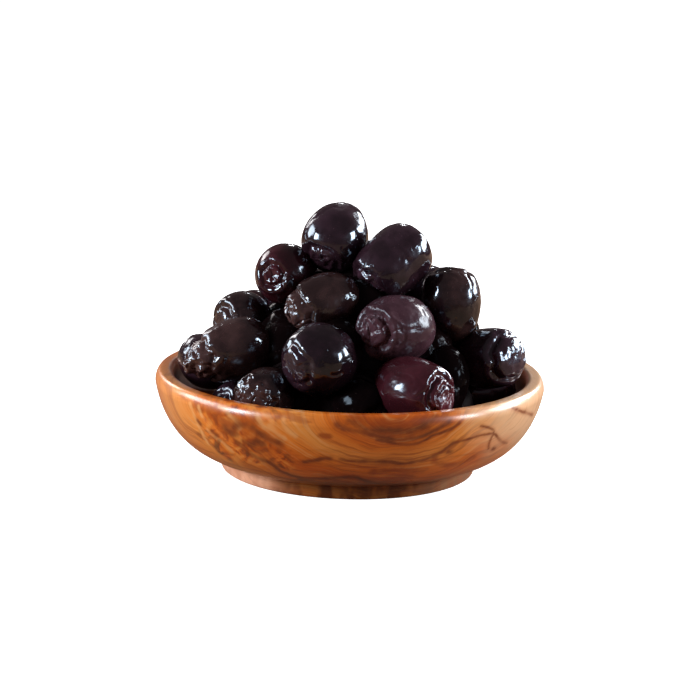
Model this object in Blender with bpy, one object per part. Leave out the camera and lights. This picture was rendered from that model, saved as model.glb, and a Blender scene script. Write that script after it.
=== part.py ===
"""A turned olive-wood dish on a low foot, with a heap of whole black olives in it.

Metres, +Z up. The origin is the centre of the foot's underside, and -Y is the front.
"""

from dataclasses import dataclass
from math import atan2, cos, exp, hypot, pi, radians, sin
from random import Random

import bmesh
import bpy
from mathutils import Vector

MM = 0.001

# Dish, outside: a rounded wall that would be widest at BELLY_TOP, cut off by the lip
RIM_RADIUS = 60.0 * MM
LIP_BASE = 27.0 * MM
BELLY_RADIUS = 60.8 * MM
BELLY_TOP = 38.0 * MM
BELLY_CENTRE = 32.0 * MM
BELLY_DROP = 34.3 * MM
BELLY_POWER = 2.4

# Dish, lip: a narrow flat with a round edge on either side
LIP_FLAT_OUTSIDE = 58.0 * MM
LIP_FLAT_INSIDE = 56.2 * MM
LIP_HEIGHT = 30.5 * MM
HOLLOW_RADIUS = 54.4 * MM
HOLLOW_TOP = 28.6 * MM

# Dish, foot: a low turned ring, recessed underneath
FOOT_RADIUS = 39.2 * MM
FOOT_HEIGHT = 4.4 * MM
FOOT_EDGE = 0.6 * MM
FOOT_RING_INSIDE = 33.0 * MM
FOOT_RECESS = 1.6 * MM

# Dish, inside
FLOOR_HEIGHT = 7.5 * MM
FLOOR_RADIUS = 22.0 * MM
HOLLOW_POWER = 1.9
DISH_SEGMENTS = 60
BELLY_STEPS = 8
LIP_STEPS = 3
HOLLOW_STEPS = 6

# Gap between the olives and the wood
GAP = 0.35 * MM

# Olive: its stem end is a sunk button with a crease round it
CREASE_ANGLE = radians(36)
CREASE_WIDTH = radians(7)
CREASE_DEPTH = 0.055
BUTTON_SINK = 0.035
OLIVE_SEGMENTS = 11
OLIVE_RING_ANGLES = (17, 30, 38, 52, 74, 98, 124, 152)

# Core under the olives that show: it lines the hollow, then rises to a blunt cone
CORE_SHOULDER_RADIUS = 42.0 * MM
CORE_SHOULDER_HEIGHT = 27.0 * MM
CORE_WAIST_RADIUS = 31.0 * MM
CORE_WAIST_HEIGHT = 45.0 * MM
CORE_NECK_RADIUS = 10.0 * MM
CORE_NECK_HEIGHT = 66.0 * MM
CORE_TOP = 69.5 * MM
CORE_SEGMENTS = 20

# Olives at the sides and the back, in rings from inside the rim up
HEAP_SEED = 11
TURN_JITTER = radians(5)
SHIFT_JITTER = 1.0 * MM
SHORTEST = 21.5 * MM
LONGEST = 25.0 * MM
THINNEST = 18.5 * MM
THICKEST = 20.5 * MM
LEAN_OUTWARDS = 0.6
PLACE_TAKEN = 0.62
CLOSEST = 0.90
SETTLE_ROUNDS = 40
PUSH_STEP = 0.2 * MM
PUSH_UP = 0.4


@dataclass
class Olive:
    """One olive: its centre, the way its stem end points, its size, and how much it narrows to the stem."""

    centre: Vector
    stem: Vector
    length: float
    thickness: float
    taper: float = 0.05


@dataclass
class Ring:
    """Olives set evenly round the dish's axis."""

    height: float
    radius: float
    count: int
    first_angle: float


def olive(x, y, z, stem, length, thickness, taper=0.05):
    """An olive given in millimetres."""
    return Olive(Vector((x, y, z)) * MM, Vector(stem).normalized(), length * MM, thickness * MM, taper)


# The olives that face the front, named by their place in the heap
FRONT_OLIVES = {
    "peak": olive(-5.3, 0, 71.7, (-0.35, -0.65, -0.68), 23.0, 20.5),
    "peak_right": olive(12.3, -8, 66.4, (-0.74, -0.44, -0.51), 25.0, 20.6),
    "shoulder_left": olive(-20.7, -2, 60.3, (-0.47, -0.86, 0.19), 21.0, 19.0),
    "middle": olive(-9, -17, 54.5, (-0.86, -0.42, -0.29), 26.0, 17.5),
    "shoulder_right": olive(30.2, -6, 52.9, (-0.05, 0.35, 0.93), 24.0, 19.3, taper=-0.14),
    "chest_right": olive(12.9, -25, 48.8, (-0.80, -0.60, 0.05), 26.0, 21.0),
    "left_behind": olive(-33.8, 2, 44.6, (-0.80, -0.60, 0.10), 19.0, 18.5),
    "left_long": olive(-37.6, -18, 38.6, (-0.90, -0.28, -0.28), 30.3, 18.3, taper=0.30),
    "left_rim": olive(-43.5, -2, 31.0, (-0.60, 0.70, 0.20), 21.0, 17.5),
    "belly": olive(-9.2, -36, 41.3, (-0.68, -0.72, -0.08), 23.0, 22.0),
    "right_edge": olive(42.9, -11, 37.8, (0.35, -0.92, 0.15), 23.0, 18.5),
    "right_behind": olive(31.5, 8, 41.0, (0.30, -0.90, 0.20), 21.0, 18.0),
    "front_right": olive(19.3, -41, 31.6, (0.78, -0.62, 0.05), 26.5, 20.5),
    "front_left": olive(-25.6, -36, 29, (-0.75, -0.65, 0.05), 23.0, 18.0),
    "right_dark": olive(33, -26, 35.5, (0.10, -0.30, -0.95), 22.0, 18.0),
    "between_left": olive(-22, -18, 42.5, (0.30, -0.80, -0.50), 22.0, 18.5),
    "between_front": olive(4, -35, 28, (0.60, -0.70, -0.30), 22.0, 19.0),
    "between_upper": olive(4.5, -23, 37.5, (0.60, -0.50, -0.60), 22.0, 19.0),
}

RINGS = (
    Ring(23.5 * MM, 42.5 * MM, 13, radians(8)),
    Ring(38.0 * MM, 36.5 * MM, 11, radians(20)),
    Ring(51.5 * MM, 24.0 * MM, 7, radians(38)),
    Ring(61.0 * MM, 11.0 * MM, 4, radians(70)),
)


def clear_scene():
    """Removes the objects that Blender starts with."""
    for obj in list(bpy.data.objects):
        bpy.data.objects.remove(obj)


def material(name, colour, roughness):
    """A plain Principled material."""
    made = bpy.data.materials.new(name)
    made.use_nodes = True
    shader = made.node_tree.nodes["Principled BSDF"]
    shader.inputs["Base Color"].default_value = (*colour, 1.0)
    shader.inputs["Roughness"].default_value = roughness
    shader.inputs["Metallic"].default_value = 0.0
    return made


def bulge(share, power):
    """How far out a rounded wall stands, from 1 at its widest (share 0) to 0 at its lowest (share 1)."""
    return max(0.0, 1.0 - share**power) ** (1.0 / power)


def outer_radius(z):
    """Radius of the dish's outside at a height between the foot and the lip."""
    share = (BELLY_TOP - z) / BELLY_DROP
    return BELLY_CENTRE + (BELLY_RADIUS - BELLY_CENTRE) * bulge(share, BELLY_POWER)


def inner_radius(z):
    """Radius of the hollow at a height, opening out over the lip's inner edge."""
    if z >= LIP_HEIGHT:
        return float("inf")
    if z > HOLLOW_TOP:
        rise = (z - HOLLOW_TOP) / (LIP_HEIGHT - HOLLOW_TOP)
        return HOLLOW_RADIUS + (LIP_FLAT_INSIDE - HOLLOW_RADIUS) * (1.0 - (1.0 - rise**2) ** 0.5)
    share = (HOLLOW_TOP - max(z, FLOOR_HEIGHT)) / (HOLLOW_TOP - FLOOR_HEIGHT)
    return FLOOR_RADIUS + (HOLLOW_RADIUS - FLOOR_RADIUS) * bulge(share, HOLLOW_POWER)


def quarter(start, end, steps, about):
    """Points along a quarter of an ellipse from start to end, whose axes cross at about."""
    points = []
    for step in range(1, steps):
        turn = 0.5 * pi * step / steps
        along_start = Vector(start) - Vector(about)
        along_end = Vector(end) - Vector(about)
        point = Vector(about) + along_start * cos(turn) + along_end * sin(turn)
        points.append(tuple(point))
    return points


def dish_profile():
    """(radius, height) points from the axis under the foot, round the outside, to the axis in the hollow."""
    points = [(0.0, FOOT_RECESS), (FOOT_RING_INSIDE - FOOT_RECESS, FOOT_RECESS), (FOOT_RING_INSIDE, 0.0)]
    points += [(FOOT_RADIUS - FOOT_EDGE, 0.0), (FOOT_RADIUS, FOOT_EDGE), (FOOT_RADIUS, FOOT_HEIGHT)]
    for step in range(BELLY_STEPS):
        turn = 0.5 * pi * step / BELLY_STEPS
        z = LIP_BASE - (LIP_BASE - FOOT_HEIGHT) * cos(turn)
        points.append((outer_radius(z), z))
    widest = (RIM_RADIUS, LIP_BASE)
    outside = (LIP_FLAT_OUTSIDE, LIP_HEIGHT)
    inside = (LIP_FLAT_INSIDE, LIP_HEIGHT)
    hollow = (HOLLOW_RADIUS, HOLLOW_TOP)
    points += [widest, *quarter(widest, outside, LIP_STEPS, (LIP_FLAT_OUTSIDE, LIP_BASE)), outside]
    points += [inside, *quarter(inside, hollow, LIP_STEPS, (LIP_FLAT_INSIDE, HOLLOW_TOP)), hollow]
    for step in range(1, HOLLOW_STEPS + 1):
        turn = 0.5 * pi * step / HOLLOW_STEPS
        z = HOLLOW_TOP - (HOLLOW_TOP - FLOOR_HEIGHT) * sin(turn)
        points.append((inner_radius(z), z))
    points.append((0.0, FLOOR_HEIGHT))
    return points


def core_profile():
    """(radius, height) points of the core, from the axis on the hollow's floor to the axis at the top."""
    lowest = FLOOR_HEIGHT + GAP
    points = [(0.0, lowest)]
    for step in range(HOLLOW_STEPS):
        z = lowest + (CORE_SHOULDER_HEIGHT - lowest) * step / HOLLOW_STEPS
        points.append((min(inner_radius(z - GAP) - 2.0 * GAP, CORE_SHOULDER_RADIUS), z))
    points.append((CORE_SHOULDER_RADIUS, CORE_SHOULDER_HEIGHT))
    points.append((CORE_WAIST_RADIUS, CORE_WAIST_HEIGHT))
    points.append((CORE_NECK_RADIUS, CORE_NECK_HEIGHT))
    points.append((0.0, CORE_TOP))
    return points


def turned(name, profile, segments):
    """A closed solid of revolution about Z from a profile that starts and ends on the axis."""
    mesh = bmesh.new()
    points = [mesh.verts.new((radius, 0.0, z)) for radius, z in profile]
    edges = [mesh.edges.new(pair) for pair in zip(points, points[1:])]
    bmesh.ops.spin(
        mesh,
        geom=points + edges,
        axis=(0, 0, 1),
        cent=(0, 0, 0),
        steps=segments,
        angle=2 * pi,
        use_merge=True,
    )
    bmesh.ops.remove_doubles(mesh, verts=mesh.verts, dist=1e-6)
    bmesh.ops.recalc_face_normals(mesh, faces=mesh.faces)
    data = bpy.data.meshes.new(name)
    mesh.to_mesh(data)
    mesh.free()
    made = bpy.data.objects.new(name, data)
    bpy.context.scene.collection.objects.link(made)
    return made


def olive_reach(angle):
    """Share of an olive's plain half size at an angle from its stem: a crease rings the sunk button."""
    crease = CREASE_DEPTH * exp(-(((angle - CREASE_ANGLE) / CREASE_WIDTH) ** 2))
    sunk = BUTTON_SINK if angle < CREASE_ANGLE else 0.0
    return 1.0 - crease - sunk


def olive_points(one):
    """An olive's two ends, and its rings of points from the stem end down."""
    turn = Vector((0, 0, 1)).rotation_difference(one.stem)
    ends = []
    for angle in (0.0, pi):
        along = 0.5 * one.length * olive_reach(angle) * cos(angle)
        ends.append(one.centre + turn @ Vector((0.0, 0.0, along)))
    rings = []
    for degrees_down in OLIVE_RING_ANGLES:
        angle = radians(degrees_down)
        reach = olive_reach(angle)
        wide = 0.5 * one.thickness * reach * sin(angle) * (1.0 - one.taper * cos(angle))
        along = 0.5 * one.length * reach * cos(angle)
        ring = []
        for step in range(OLIVE_SEGMENTS):
            around = 2 * pi * step / OLIVE_SEGMENTS
            ring.append(one.centre + turn @ Vector((wide * cos(around), wide * sin(around), along)))
        rings.append(ring)
    return ends, rings


def crosses_dish(one):
    """True if any of the olive's points comes nearer to the wood than the gap."""
    ends, rings = olive_points(one)
    for point in [*ends, *(p for ring in rings for p in ring)]:
        if point.z < FLOOR_HEIGHT + GAP or hypot(point.x, point.y) > inner_radius(point.z) - 2.0 * GAP:
            return True
    return False


def moved_clear(one):
    """The olive, slid towards the axis and up until it is clear of the wood."""
    while crosses_dish(one):
        inward = Vector((-one.centre.x, -one.centre.y, 0.0)).normalized()
        one.centre += (inward + Vector((0.0, 0.0, PUSH_UP))) * PUSH_STEP
    return one


def shortfall(one, other, share):
    """How much nearer two olives lie than a share of the distance at which they would just touch."""
    touching = 0.25 * (one.length + one.thickness + other.length + other.thickness)
    return share * touching - (one.centre - other.centre).length


def ring_olives(placed):
    """The rings' olives, without those whose place is taken, settled beside each other."""
    draw = Random(HEAP_SEED)
    added = []
    for ring in RINGS:
        for step in range(ring.count):
            around = ring.first_angle + 2 * pi * step / ring.count + draw.uniform(-1, 1) * TURN_JITTER
            radius = ring.radius + draw.uniform(-1, 1) * SHIFT_JITTER
            height = ring.height + draw.uniform(-1, 1) * SHIFT_JITTER
            stem = Vector((draw.uniform(-1, 1), draw.uniform(-1, 1), draw.uniform(-0.6, 0.8)))
            stem = (stem + Vector((cos(around), sin(around), 0.0)) * LEAN_OUTWARDS).normalized()
            length = draw.uniform(SHORTEST, LONGEST)
            thickness = draw.uniform(THINNEST, THICKEST)
            centre = Vector((radius * cos(around), radius * sin(around), height))
            one = Olive(centre, stem, length, thickness)
            if all(shortfall(one, other, PLACE_TAKEN) < 0.0 for other in placed):
                added.append(one)
    for _ in range(SETTLE_ROUNDS):
        for one in added:
            for other in [*placed, *added]:
                push = shortfall(one, other, CLOSEST)
                if other is not one and push > 0.0:
                    one.centre += (one.centre - other.centre).normalized() * 0.5 * push
            moved_clear(one)
    return added


def olive_solid(name, one):
    """A faceted olive, turned about its own axis."""
    mesh = bmesh.new()
    ends, rings = olive_points(one)
    top = mesh.verts.new(ends[0])
    bottom = mesh.verts.new(ends[1])
    loops = [[mesh.verts.new(point) for point in ring] for ring in rings]
    for step in range(OLIVE_SEGMENTS):
        following = (step + 1) % OLIVE_SEGMENTS
        mesh.faces.new((top, loops[0][step], loops[0][following]))
        mesh.faces.new((bottom, loops[-1][following], loops[-1][step]))
        for upper, lower in zip(loops, loops[1:]):
            mesh.faces.new((upper[step], lower[step], lower[following], upper[following]))
    bmesh.ops.recalc_face_normals(mesh, faces=mesh.faces)
    data = bpy.data.meshes.new(name)
    mesh.to_mesh(data)
    mesh.free()
    return bpy.data.objects.new(name, data)


def fused(core, pieces):
    """Joins the pieces to the core with one Boolean union, and clears the pieces away."""
    group = bpy.data.collections.new("to_fuse")
    bpy.context.scene.collection.children.link(group)
    for piece in pieces:
        group.objects.link(piece)
    union = core.modifiers.new("fuse", "BOOLEAN")
    union.operation = "UNION"
    union.operand_type = "COLLECTION"
    union.collection = group
    graph = bpy.context.evaluated_depsgraph_get()
    joined = bpy.data.meshes.new_from_object(core.evaluated_get(graph))
    core.modifiers.remove(union)
    core.data = joined
    for piece in pieces:
        bpy.data.objects.remove(piece)
    bpy.data.collections.remove(group)
    return core


def shells(mesh):
    """The mesh's separate closed shells, each a list of faces."""
    left = set(mesh.faces)
    found = []
    while left:
        shell = []
        queue = [left.pop()]
        while queue:
            face = queue.pop()
            shell.append(face)
            for edge in face.edges:
                for near in edge.link_faces:
                    if near in left:
                        left.remove(near)
                        queue.append(near)
        found.append(shell)
    return found


def enclosed_volume(shell):
    """Signed volume of a closed shell."""
    total = 0.0
    for face in shell:
        first, *rest = [corner.co for corner in face.verts]
        for second, third in zip(rest, rest[1:]):
            total += first.dot(second.cross(third)) / 6.0
    return total


def keep_outer_shell(obj):
    """Fills hollows that fusing sealed and drops loose scraps, by keeping the largest shell alone."""
    mesh = bmesh.new()
    mesh.from_mesh(obj.data)
    ordered = sorted(shells(mesh), key=enclosed_volume)
    spare = [face for shell in ordered[:-1] for face in shell]
    bmesh.ops.delete(mesh, geom=spare, context="FACES")
    mesh.to_mesh(obj.data)
    mesh.free()


def build_dish():
    """The dish, turned from one piece of wood."""
    dish = turned("dish", dish_profile(), DISH_SEGMENTS)
    dish.data.materials.append(material("olive_wood", (0.46, 0.19, 0.06), 0.38))
    dish.data.shade_smooth()
    dish.data.set_sharp_from_angle(angle=radians(40))
    return dish


def build_olives():
    """The heap: a core with the olives that show fused on."""
    front = [moved_clear(one) for one in FRONT_OLIVES.values()]
    heap = front + ring_olives(front)
    heap.sort(key=lambda one: (one.centre.z, atan2(one.centre.y, one.centre.x)))
    core = turned("olives", core_profile(), CORE_SEGMENTS)
    pieces = [olive_solid(f"olive_{index}", one) for index, one in enumerate(heap)]
    fused(core, pieces)
    keep_outer_shell(core)
    core.data.materials.append(material("olive_skin", (0.018, 0.009, 0.011), 0.16))
    core.data.shade_smooth()
    core.data.set_sharp_from_angle(angle=radians(50))
    return core


clear_scene()
build_dish()
build_olives()
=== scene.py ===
"""A turned olive-wood dish with a heap of whole black olives in it, dressed for a studio photograph.

Sizes of the dish and the olives are in millimetres, and those of the studio and the meshes in metres.
-Y is the front.
"""

import logging
from collections.abc import Iterable, Sequence
from dataclasses import dataclass, field, fields
from enum import Enum
from functools import partial, reduce
from math import cos, exp, hypot, pi, radians, sin
from random import Random

import bmesh
import bpy
import numpy as np
from mathutils import Matrix, Vector, noise


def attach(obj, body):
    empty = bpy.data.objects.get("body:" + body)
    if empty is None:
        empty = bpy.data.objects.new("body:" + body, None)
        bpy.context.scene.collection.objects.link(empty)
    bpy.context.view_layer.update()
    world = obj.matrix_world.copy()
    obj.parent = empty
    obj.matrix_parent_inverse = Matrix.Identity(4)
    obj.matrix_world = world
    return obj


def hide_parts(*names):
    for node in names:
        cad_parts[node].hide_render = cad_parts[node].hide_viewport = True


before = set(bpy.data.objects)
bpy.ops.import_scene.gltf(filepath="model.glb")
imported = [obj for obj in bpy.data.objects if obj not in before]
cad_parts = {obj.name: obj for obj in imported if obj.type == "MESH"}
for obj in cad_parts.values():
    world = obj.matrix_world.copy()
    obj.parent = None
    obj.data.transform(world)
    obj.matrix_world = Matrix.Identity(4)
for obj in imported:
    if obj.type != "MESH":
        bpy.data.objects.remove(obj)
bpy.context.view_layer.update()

MM = 0.001
BODY = "root"

Colour = tuple[float, float, float]
Place = tuple[float, float, float]
Socket = bpy.types.NodeSocket
Value = float | int | Sequence[float] | Socket
Inputs = dict[str | int, Value]
Point = tuple[float, float]

log = logging.getLogger("dish_of_olives")


class Graph:
    """Short ways of adding nodes to one node tree, for shaders and for geometry alike."""

    def __init__(self, tree: bpy.types.NodeTree) -> None:
        """Keeps the tree that nodes are added to."""
        self.tree = tree

    def feed(self, socket: Socket, value: Value) -> None:
        """Links a socket to an input, or sets the input to a plain value.

        Args:
            socket: the input.
            value: an output socket, or a value that the input takes.
        """
        if isinstance(value, Socket):
            self.tree.links.new(value, socket)
        else:
            socket.default_value = value

    def fill(self, node: bpy.types.Node, inputs: Inputs) -> None:
        """Feeds several of a node's inputs, by name or by place."""
        for name, value in inputs.items():
            self.feed(node.inputs[name], value)

    def node(self, kind: str, inputs: Inputs | None = None, **settings: object) -> bpy.types.Node:
        """Adds a node.

        Args:
            kind: the node's type name.
            inputs: values or sockets for its inputs, by name or by place.
            **settings: the node's own properties.

        Returns:
            The new node.
        """
        made = self.tree.nodes.new(kind)
        for name, value in settings.items():
            setattr(made, name, value)
        self.fill(made, inputs or {})
        return made

    def math(self, operation: str, *values: Value) -> Socket:
        """Adds a Math node."""
        return self.node("ShaderNodeMath", dict(enumerate(values)), operation=operation).outputs[0]

    def total(self, *values: Value) -> Socket:
        """Adds values up."""
        return reduce(partial(self.math, "ADD"), values)

    def product(self, *values: Value) -> Socket:
        """Multiplies values."""
        return reduce(partial(self.math, "MULTIPLY"), values)

    def vector(self, operation: str, *values: Value) -> Socket:
        """Adds a Vector Math node, whose result is a number for a length or a distance."""
        made = self.node("ShaderNodeVectorMath", dict(enumerate(values)), operation=operation)
        return made.outputs["Value" if operation in {"LENGTH", "DISTANCE"} else "Vector"]

    def scaled(self, vector: Value, factor: Value) -> Socket:
        """Multiplies a vector by a number."""
        inputs = {"Vector": vector, "Scale": factor}
        return self.node("ShaderNodeVectorMath", inputs, operation="SCALE").outputs[0]

    def axes(self, vector: Value) -> tuple[Socket, ...]:
        """Splits a vector into its X, Y and Z."""
        return tuple(self.node("ShaderNodeSeparateXYZ", {0: vector}).outputs)

    def joined(self, *numbers: Value) -> Socket:
        """Makes a vector of three numbers."""
        return self.node("ShaderNodeCombineXYZ", dict(enumerate(numbers))).outputs[0]

    def place(self) -> Socket:
        """The place on the piece, in metres."""
        return self.node("ShaderNodeTexCoord").outputs["Object"]

    def attribute(self, name: str) -> Socket:
        """Reads one of the piece's own attributes."""
        return self.node("ShaderNodeAttribute", attribute_name=name).outputs["Fac"]

    def noise(self, vector: Value, scale: float, detail: float, w: Value = 0.0) -> Socket:
        """A noise value, which stays near 0.5. Each w gives a pattern of its own."""
        inputs = {"Vector": vector, "W": w, "Scale": scale, "Detail": detail}
        return self.node("ShaderNodeTexNoise", inputs, noise_dimensions="4D").outputs[0]

    def swing(
        self, vector: Value, scale: float, detail: float, size: float, w: Value | None = None
    ) -> Socket:
        """A wandering vector.

        Args:
            vector: where it is read.
            scale: the noise's scale.
            detail: how many finer layers the noise has.
            size: how far it swings in all.
            w: the pattern's own number, where pieces differ.

        Returns:
            The vector, about zero on average.
        """
        inputs = {"Vector": vector, "Scale": scale, "Detail": detail} | ({} if w is None else {"W": w})
        made = self.node("ShaderNodeTexNoise", inputs, noise_dimensions="3D" if w is None else "4D")
        return self.scaled(self.vector("SUBTRACT", made.outputs["Color"], (0.5, 0.5, 0.5)), size)

    def signed(self, value: Value, size: Value) -> Socket:
        """Turns a noise value into a swing of this size to each side of zero."""
        return self.product(self.math("SUBTRACT", value, 0.5), 2.0, size)

    def bell(self, value: Value, centre: Value, width: Value) -> Socket:
        """A smooth bump, 1 at its centre and about a third one width away from it."""
        off = self.math("DIVIDE", self.math("SUBTRACT", value, centre), width)
        return self.math("EXPONENT", self.product(off, off, -1.0))

    def step(self, value: Value, low: Value, high: Value) -> Socket:
        """A smooth step from 0 at low to 1 at high, which falls where low is the greater."""
        inputs = {"Value": value, "From Min": low, "From Max": high}
        return self.node("ShaderNodeMapRange", inputs, interpolation_type="SMOOTHSTEP").outputs[0]

    def furrow(self, value: Value, width: float) -> Socket:
        """A narrow line, which is 1 where a noise value crosses 0.5. Its width is in noise values."""
        return self.step(self.math("ABSOLUTE", self.math("SUBTRACT", value, 0.5)), width, 0.0)

    def mix(self, factor: Value, first: Value, second: Value) -> Socket:
        """Mixes two colours.

        Args:
            factor: how much of the second shows.
            first: the first colour.
            second: the second colour.

        Returns:
            The mixed colour.
        """
        made = self.node("ShaderNodeMix", {0: factor}, data_type="RGBA")
        for place, value in ((6, first), (7, second)):
            self.feed(made.inputs[place], (*value, 1.0) if isinstance(value, tuple) else value)
        return made.outputs[2]

    def tinted(self, colour: Value, tint: Value, *cover: Value) -> Socket:
        """Lays a tint over a colour, as thickly as its covers say when multiplied."""
        return self.mix(self.product(*cover), colour, tint)

    def ramp(self, value: Value, stops: Sequence[tuple[float, Colour]]) -> Socket:
        """Adds a colour ramp.

        Args:
            value: where on the ramp, from 0 to 1.
            stops: each stop's place and colour, in order.

        Returns:
            The colour.
        """
        made = self.node("ShaderNodeValToRGB", {0: value})
        elements = made.color_ramp.elements
        while len(elements) < len(stops):
            elements.new(0.5)
        for element, (place, colour) in zip(elements, stops):
            element.position = place
            element.color = (*colour, 1.0)
        return made.outputs[0]

    def bump(self, height: Value, strength: float, distance: float) -> Socket:
        """Bends the normal by a relief whose depth is in metres."""
        inputs = {"Height": height, "Strength": strength, "Distance": distance}
        return self.node("ShaderNodeBump", inputs).outputs[0]


def new_material(name: str, constants: Inputs) -> tuple[bpy.types.Material, Graph, bpy.types.Node]:
    """Makes a material with one Principled BSDF.

    Args:
        name: the material's name.
        constants: the values that are the same all over the surface.

    Returns:
        The material, its graph, and its Principled BSDF.
    """
    made = bpy.data.materials.new(name)
    made.use_nodes = True
    graph = Graph(made.node_tree)
    shader = made.node_tree.nodes["Principled BSDF"]
    graph.fill(shader, constants)
    return made, graph, shader


def new_group(name: str, kind: str, inputs: dict[str, str], outputs: dict[str, str]) -> bpy.types.NodeTree:
    """Makes a node group with named inputs and outputs.

    Args:
        name: the group's name.
        kind: the tree's type name.
        inputs: each input's name and sort.
        outputs: each output's name and sort.

    Returns:
        The group, with no nodes yet.
    """
    group = bpy.data.node_groups.new(name, kind)
    for side, sockets in (("INPUT", inputs), ("OUTPUT", outputs)):
        for socket, sort in sockets.items():
            group.interface.new_socket(socket, in_out=side, socket_type=f"NodeSocket{sort}")
    return group


def new_piece(name: str, data: bpy.types.ID) -> bpy.types.Object:
    """Puts a mesh, a light or a camera in the scene.

    Args:
        name: the object's name.
        data: what it holds. A mesh is already in place.

    Returns:
        The object, at the origin.
    """
    piece = bpy.data.objects.new(name, data)
    bpy.context.scene.collection.objects.link(piece)
    return piece


def fastened(name: str, mesh: bpy.types.Mesh, node: str) -> bpy.types.Object:
    """Makes a piece that rides on the part and stands for its CAD node, and reports it.

    Args:
        name: the piece's name.
        mesh: its finished mesh.
        node: the CAD node that it stands for.

    Returns:
        The finished piece.
    """
    piece = new_piece(name, mesh)
    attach(piece, BODY)
    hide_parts(node)
    log.info("%s: %d faces, for %s", name, len(mesh.polygons), node)
    return piece


def turned(name: str, profile: Sequence[Point], segments: int) -> bpy.types.Mesh:
    """Turns a profile about Z into a closed mesh.

    Args:
        name: the mesh's name.
        profile: (radius, height) points in millimetres, which start and end on the axis.
        segments: how many steps the turn has.

    Returns:
        The mesh, in metres, with its faces pointing out.
    """
    mesh = bmesh.new()
    points = [mesh.verts.new((radius * MM, 0.0, z * MM)) for radius, z in profile]
    edges = [mesh.edges.new(pair) for pair in zip(points, points[1:])]
    sweep = {"axis": (0, 0, 1), "cent": (0, 0, 0), "steps": segments, "angle": 2 * pi, "use_merge": True}
    bmesh.ops.spin(mesh, geom=points + edges, **sweep)
    bmesh.ops.remove_doubles(mesh, verts=mesh.verts, dist=1e-6)
    bmesh.ops.recalc_face_normals(mesh, faces=mesh.faces)
    data = bpy.data.meshes.new(name)
    mesh.to_mesh(data)
    mesh.free()
    data.shade_smooth()
    return data


def quarter(start: Vector, end: Vector, steps: int, about: Vector) -> list[Point]:
    """Points along a quarter of an ellipse, with its ends.

    Args:
        start: where it starts.
        end: where it ends.
        steps: how many steps it has.
        about: where the ellipse's axes cross.

    Returns:
        The points from start to end.
    """
    turns = [0.5 * pi * step / steps for step in range(1, steps)]
    between = [tuple(about + (start - about) * cos(turn) + (end - about) * sin(turn)) for turn in turns]
    return [tuple(start), *between, tuple(end)]


@dataclass(frozen=True)
class GrainLine:
    """One line of figure in the wood, through points of (degrees from the front, height in millimetres)."""

    points: tuple[Point, ...]
    width: float

    def smooth(self, steps: int = 4) -> list[Point]:
        """A smooth curve through the points.

        Args:
            steps: how many steps lie between two points.

        Returns:
            The curve's points.
        """
        ends = [self.points[0], *self.points, self.points[-1]]
        curve = []
        for four in zip(ends, ends[1:], ends[2:], ends[3:]):
            for step in range(steps):
                t = step / steps
                weights = (
                    -0.5 * t**3 + t**2 - 0.5 * t,
                    1.5 * t**3 - 2.5 * t**2 + 1.0,
                    -1.5 * t**3 + 2.0 * t**2 + 0.5 * t,
                    0.5 * t**3 - 0.5 * t**2,
                )
                weighted = list(zip(weights, four))
                curve.append(tuple(sum(w * point[axis] for w, point in weighted) for axis in (0, 1)))
        return [*curve, self.points[-1]]


DARK_GRAIN = (
    GrainLine(
        (
            (0, 29.0), (2, 28.3), (4, 27.2), (7, 26.6), (11, 26.5), (16, 26.2), (19, 26.5), (23, 28.4),
            (25, 30.1),
        ),
        0.78,
    ),
    GrainLine(
        ((-3, 28), (0, 26.5), (3, 26.1), (7, 25), (11, 23.8), (15, 23.4), (18, 23.4), (22, 24.6), (29, 27.9)),
        0.66,
    ),
    GrainLine(
        ((8, 23.6), (11, 22.9), (15, 21.9), (19, 21.9), (22, 22.9), (24, 24.1), (29, 25.5), (32, 27.2)),
        0.42,
    ),
    GrainLine(((-13, 15.2), (-9, 16.3), (-7, 16.9), (-5, 17.0)), 0.55),
    GrainLine(
        ((-2, 16.9), (1, 16.5), (7, 16.5), (12, 16.3), (16, 15.4), (20, 15.7), (24, 16.6), (28, 18.4)),
        0.50,
    ),
    GrainLine(((26, 17.3), (28, 18.4), (31, 20.8), (34, 21.3), (41, 22.1), (46, 21.9)), 0.36),
    GrainLine(((40, 25.2), (43, 24.3), (46, 22.7), (46, 20.9), (46, 18.5), (47, 16.6)), 0.34),
    GrainLine(((47, 21.5), (52, 18.2), (57, 16.3)), 0.30),
    GrainLine(((52, 29.1), (59, 26.2), (69, 23.0)), 0.40),
    GrainLine(
        ((-16, 7.9), (-10, 9.1), (-4, 9.8), (2, 10.5), (5, 9.5), (9, 7.8), (14, 6.4), (22, 6.4), (30, 6.0)),
        0.80,
    ),
    GrainLine(
        ((-34, 18.9), (-31, 16.7), (-30, 15.3), (-26, 14.1), (-23, 12.5), (-21, 10.5), (-15, 8.6)),
        0.85,
    ),
    GrainLine(((-34, 23.2), (-31, 25.2), (-28, 24.3), (-26, 23.4), (-24, 22.2), (-20, 20.9)), 1.0),
    GrainLine(((-31.5, 19.6), (-29, 18.7), (-27, 20.4), (-25, 20.0)), 0.8),
    GrainLine(((-37, 22.4), (-34, 21.4)), 1.1),
    GrainLine(((-31.5, 17.0), (-30, 15.1)), 0.8),
    GrainLine(((-48.5, 22.6), (-47.5, 21.8)), 0.55),
    GrainLine(((-43, 20.5), (-41, 19.5)), 0.5),
    GrainLine(((25, 30.1), (24, 29.1), (21, 27.8)), 0.35),
    GrainLine(((30.5, 18.1), (31.5, 17.9)), 0.5),
    GrainLine(((49.5, 16.0), (50.5, 15.8)), 0.5),
)

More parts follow.
